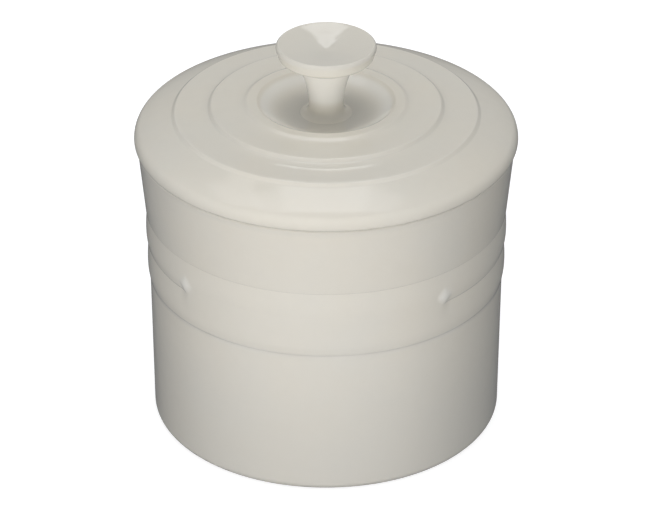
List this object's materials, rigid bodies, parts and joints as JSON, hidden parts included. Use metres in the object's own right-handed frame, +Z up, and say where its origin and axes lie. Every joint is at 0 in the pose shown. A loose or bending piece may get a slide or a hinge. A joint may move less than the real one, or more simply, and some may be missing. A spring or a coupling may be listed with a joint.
{
  "type": "condiment jar",
  "caption": "Glazed stoneware condiment jar with raised bands round the pot and a stepped lid that lifts off by a dished knob, with a sealing ring under the lid.",
  "frame": {"origin": "centre of the circle that the jar stands on, in the resting plane", "axes": "+Z up along the axis of the pot, lid and knob; -Y is the side that faces the viewer in the picture"},
  "size_m": [0.12, 0.12, 0.1284],
  "materials": {
    "pot_glaze": "satin off-white glaze, bare biscuit-coloured resting ring",
    "lid_glaze": "satin off-white glaze",
    "knob_glaze": "satin off-white glaze",
    "silicone": "matt translucent white silicone"
  },
  "bodies": {
    "jar": {"jar": "pot_glaze"},
    "seal": {"seal": "silicone"},
    "lid": {"lid": "lid_glaze", "knob": "knob_glaze"}
  },
  "joints": [
    {"name": "lid_lift", "type": "slide", "parent": "jar", "child": "seal", "axis": [0, 0, 1], "range_m": [0, 0.1]},
    {"name": "lid_turn", "type": "hinge", "parent": "seal", "child": "lid", "pos_m": [0, 0, 0.091], "axis": [0, 0, 1], "continuous": true}
  ]
}
